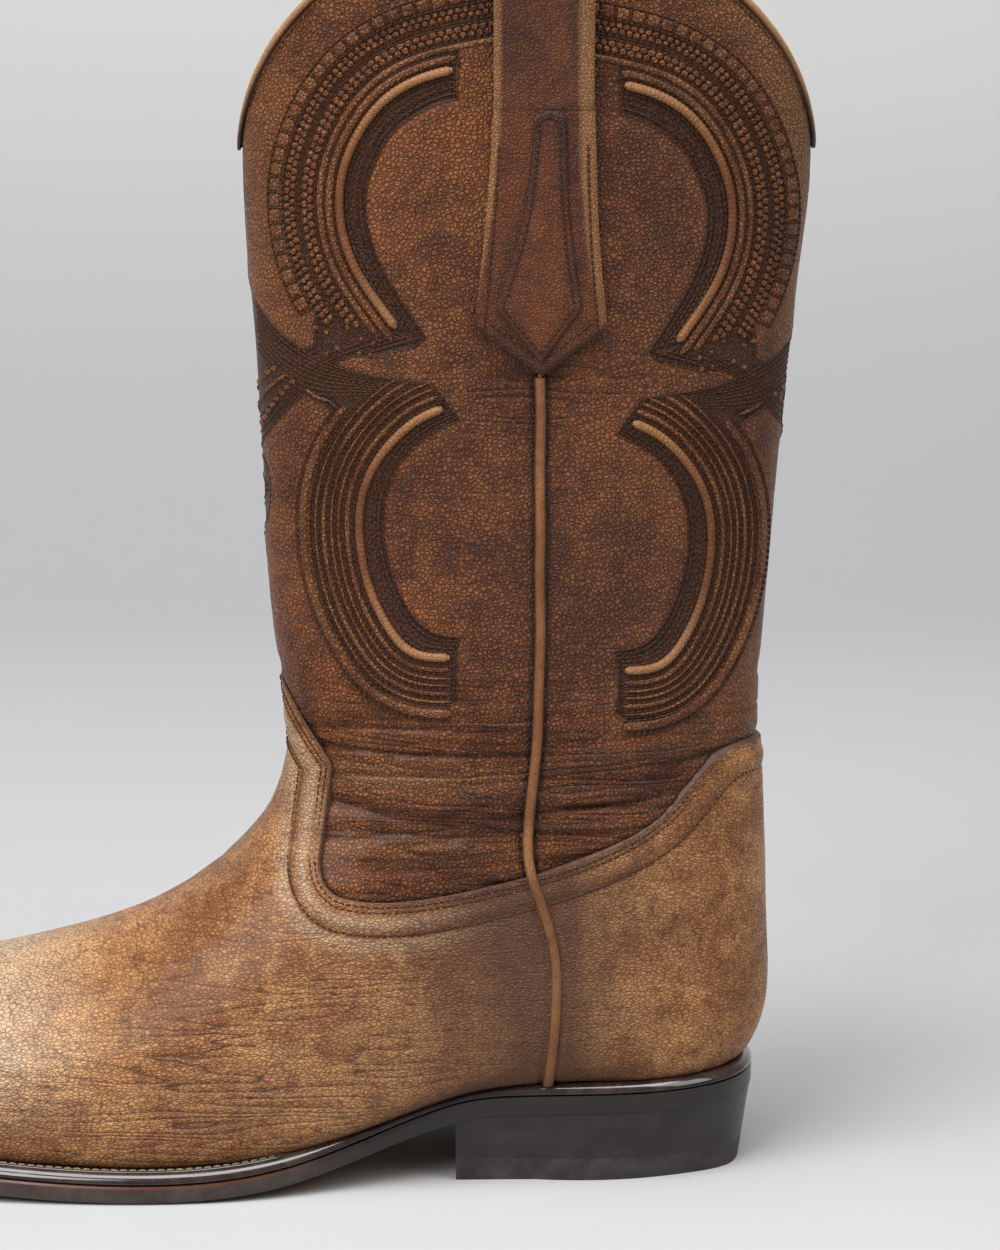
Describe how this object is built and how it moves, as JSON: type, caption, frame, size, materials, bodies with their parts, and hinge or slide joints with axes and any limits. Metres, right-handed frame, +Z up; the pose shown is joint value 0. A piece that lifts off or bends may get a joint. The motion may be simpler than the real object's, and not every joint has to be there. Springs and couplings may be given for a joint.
{
  "type": "cowboy boot",
  "caption": "Left western boot with a tall scalloped leather shaft, stitched side-seam pull straps, rounded toe, welted leather sole and a stacked block heel with a rubber cap.",
  "frame": {"origin": "centre of the boot's box in X and Y, at the ground under the heel and the ball of the sole", "axes": "+Z up the shaft, +X towards the heel (the toe points along -X), -Y towards the outer side of the foot"},
  "size_m": [0.3168, 0.1122, 0.3631],
  "materials": {
    "shaft_leather": "burnished grained leather, dark reddish brown",
    "foot_leather": "burnished smooth leather, tan brown",
    "piping_leather": "smooth tan leather",
    "binding_leather": "dark brown leather strip",
    "strap_leather": "reddish brown leather",
    "overlay_leather": "tan leather",
    "lining_leather": "matte natural lining leather",
    "stiffener_leather": "stiff board leather, hidden",
    "insole_leather": "vegetable-tanned leather, hidden",
    "sole_leather": "dark brown waxed edge",
    "heel_leather": "near-black waxed stacked leather",
    "heel_rubber": "matte black rubber",
    "cork": "cork sheet, hidden",
    "shank_steel": "plain steel, hidden",
    "nail_brass": "dull brass",
    "peg_wood": "lemonwood",
    "thread": "waxed dark brown thread"
  },
  "bodies": {
    "boot": {"back_panel_cording": "piping_leather", "back_shaft_lining": "lining_leather", "back_shaft_panel": "shaft_leather", "cork_filler": "cork", "counter_cover": "foot_leather", "front_panel_cording": "piping_leather", "front_shaft_lining": "lining_leather", "front_shaft_panel": "shaft_leather", "heel_counter_stiffener": "stiffener_leather", "heel_lift_1": "heel_leather", "heel_lift_2": "heel_leather", "heel_lift_3": "heel_leather", "heel_lining": "lining_leather", "heel_nails": "nail_brass", "heel_rand": "sole_leather", "insole": "insole_leather", "lateral_pull_strap": "strap_leather", "lateral_side_piping": "piping_leather", "lateral_strap_overlay": "overlay_leather", "medial_pull_strap": "strap_leather", "medial_side_piping": "piping_leather", "medial_strap_overlay": "overlay_leather", "outsole": "sole_leather", "rubber_heel_cap": "heel_rubber", "shank_board": "insole_leather", "sock_lining": "lining_leather", "steel_shank": "shank_steel", "toe_box_stiffener": "stiffener_leather", "top_binding": "binding_leather", "vamp": "foot_leather", "vamp_doubler": "stiffener_leather", "vamp_lining": "lining_leather", "welt": "sole_leather", "welt_stitching": "thread", "wood_pegs": "peg_wood"},
    "lateral_loop": {"lateral_pull_loop": "strap_leather"},
    "medial_loop": {"medial_pull_loop": "strap_leather"}
  },
  "joints": [
    {"name": "lateral_loop_rock", "type": "hinge", "parent": "boot", "child": "lateral_loop", "pos_m": [0.0823, -0.0367, 0.301], "axis": [1, 0, 0], "range_deg": [-3, 3], "stiffness_Nm_per_rad": 0.03},
    {"name": "medial_loop_rock", "type": "hinge", "parent": "boot", "child": "medial_loop", "pos_m": [0.0823, 0.0367, 0.301], "axis": [1, 0, 0], "range_deg": [-3, 3], "stiffness_Nm_per_rad": 0.03}
  ]
}
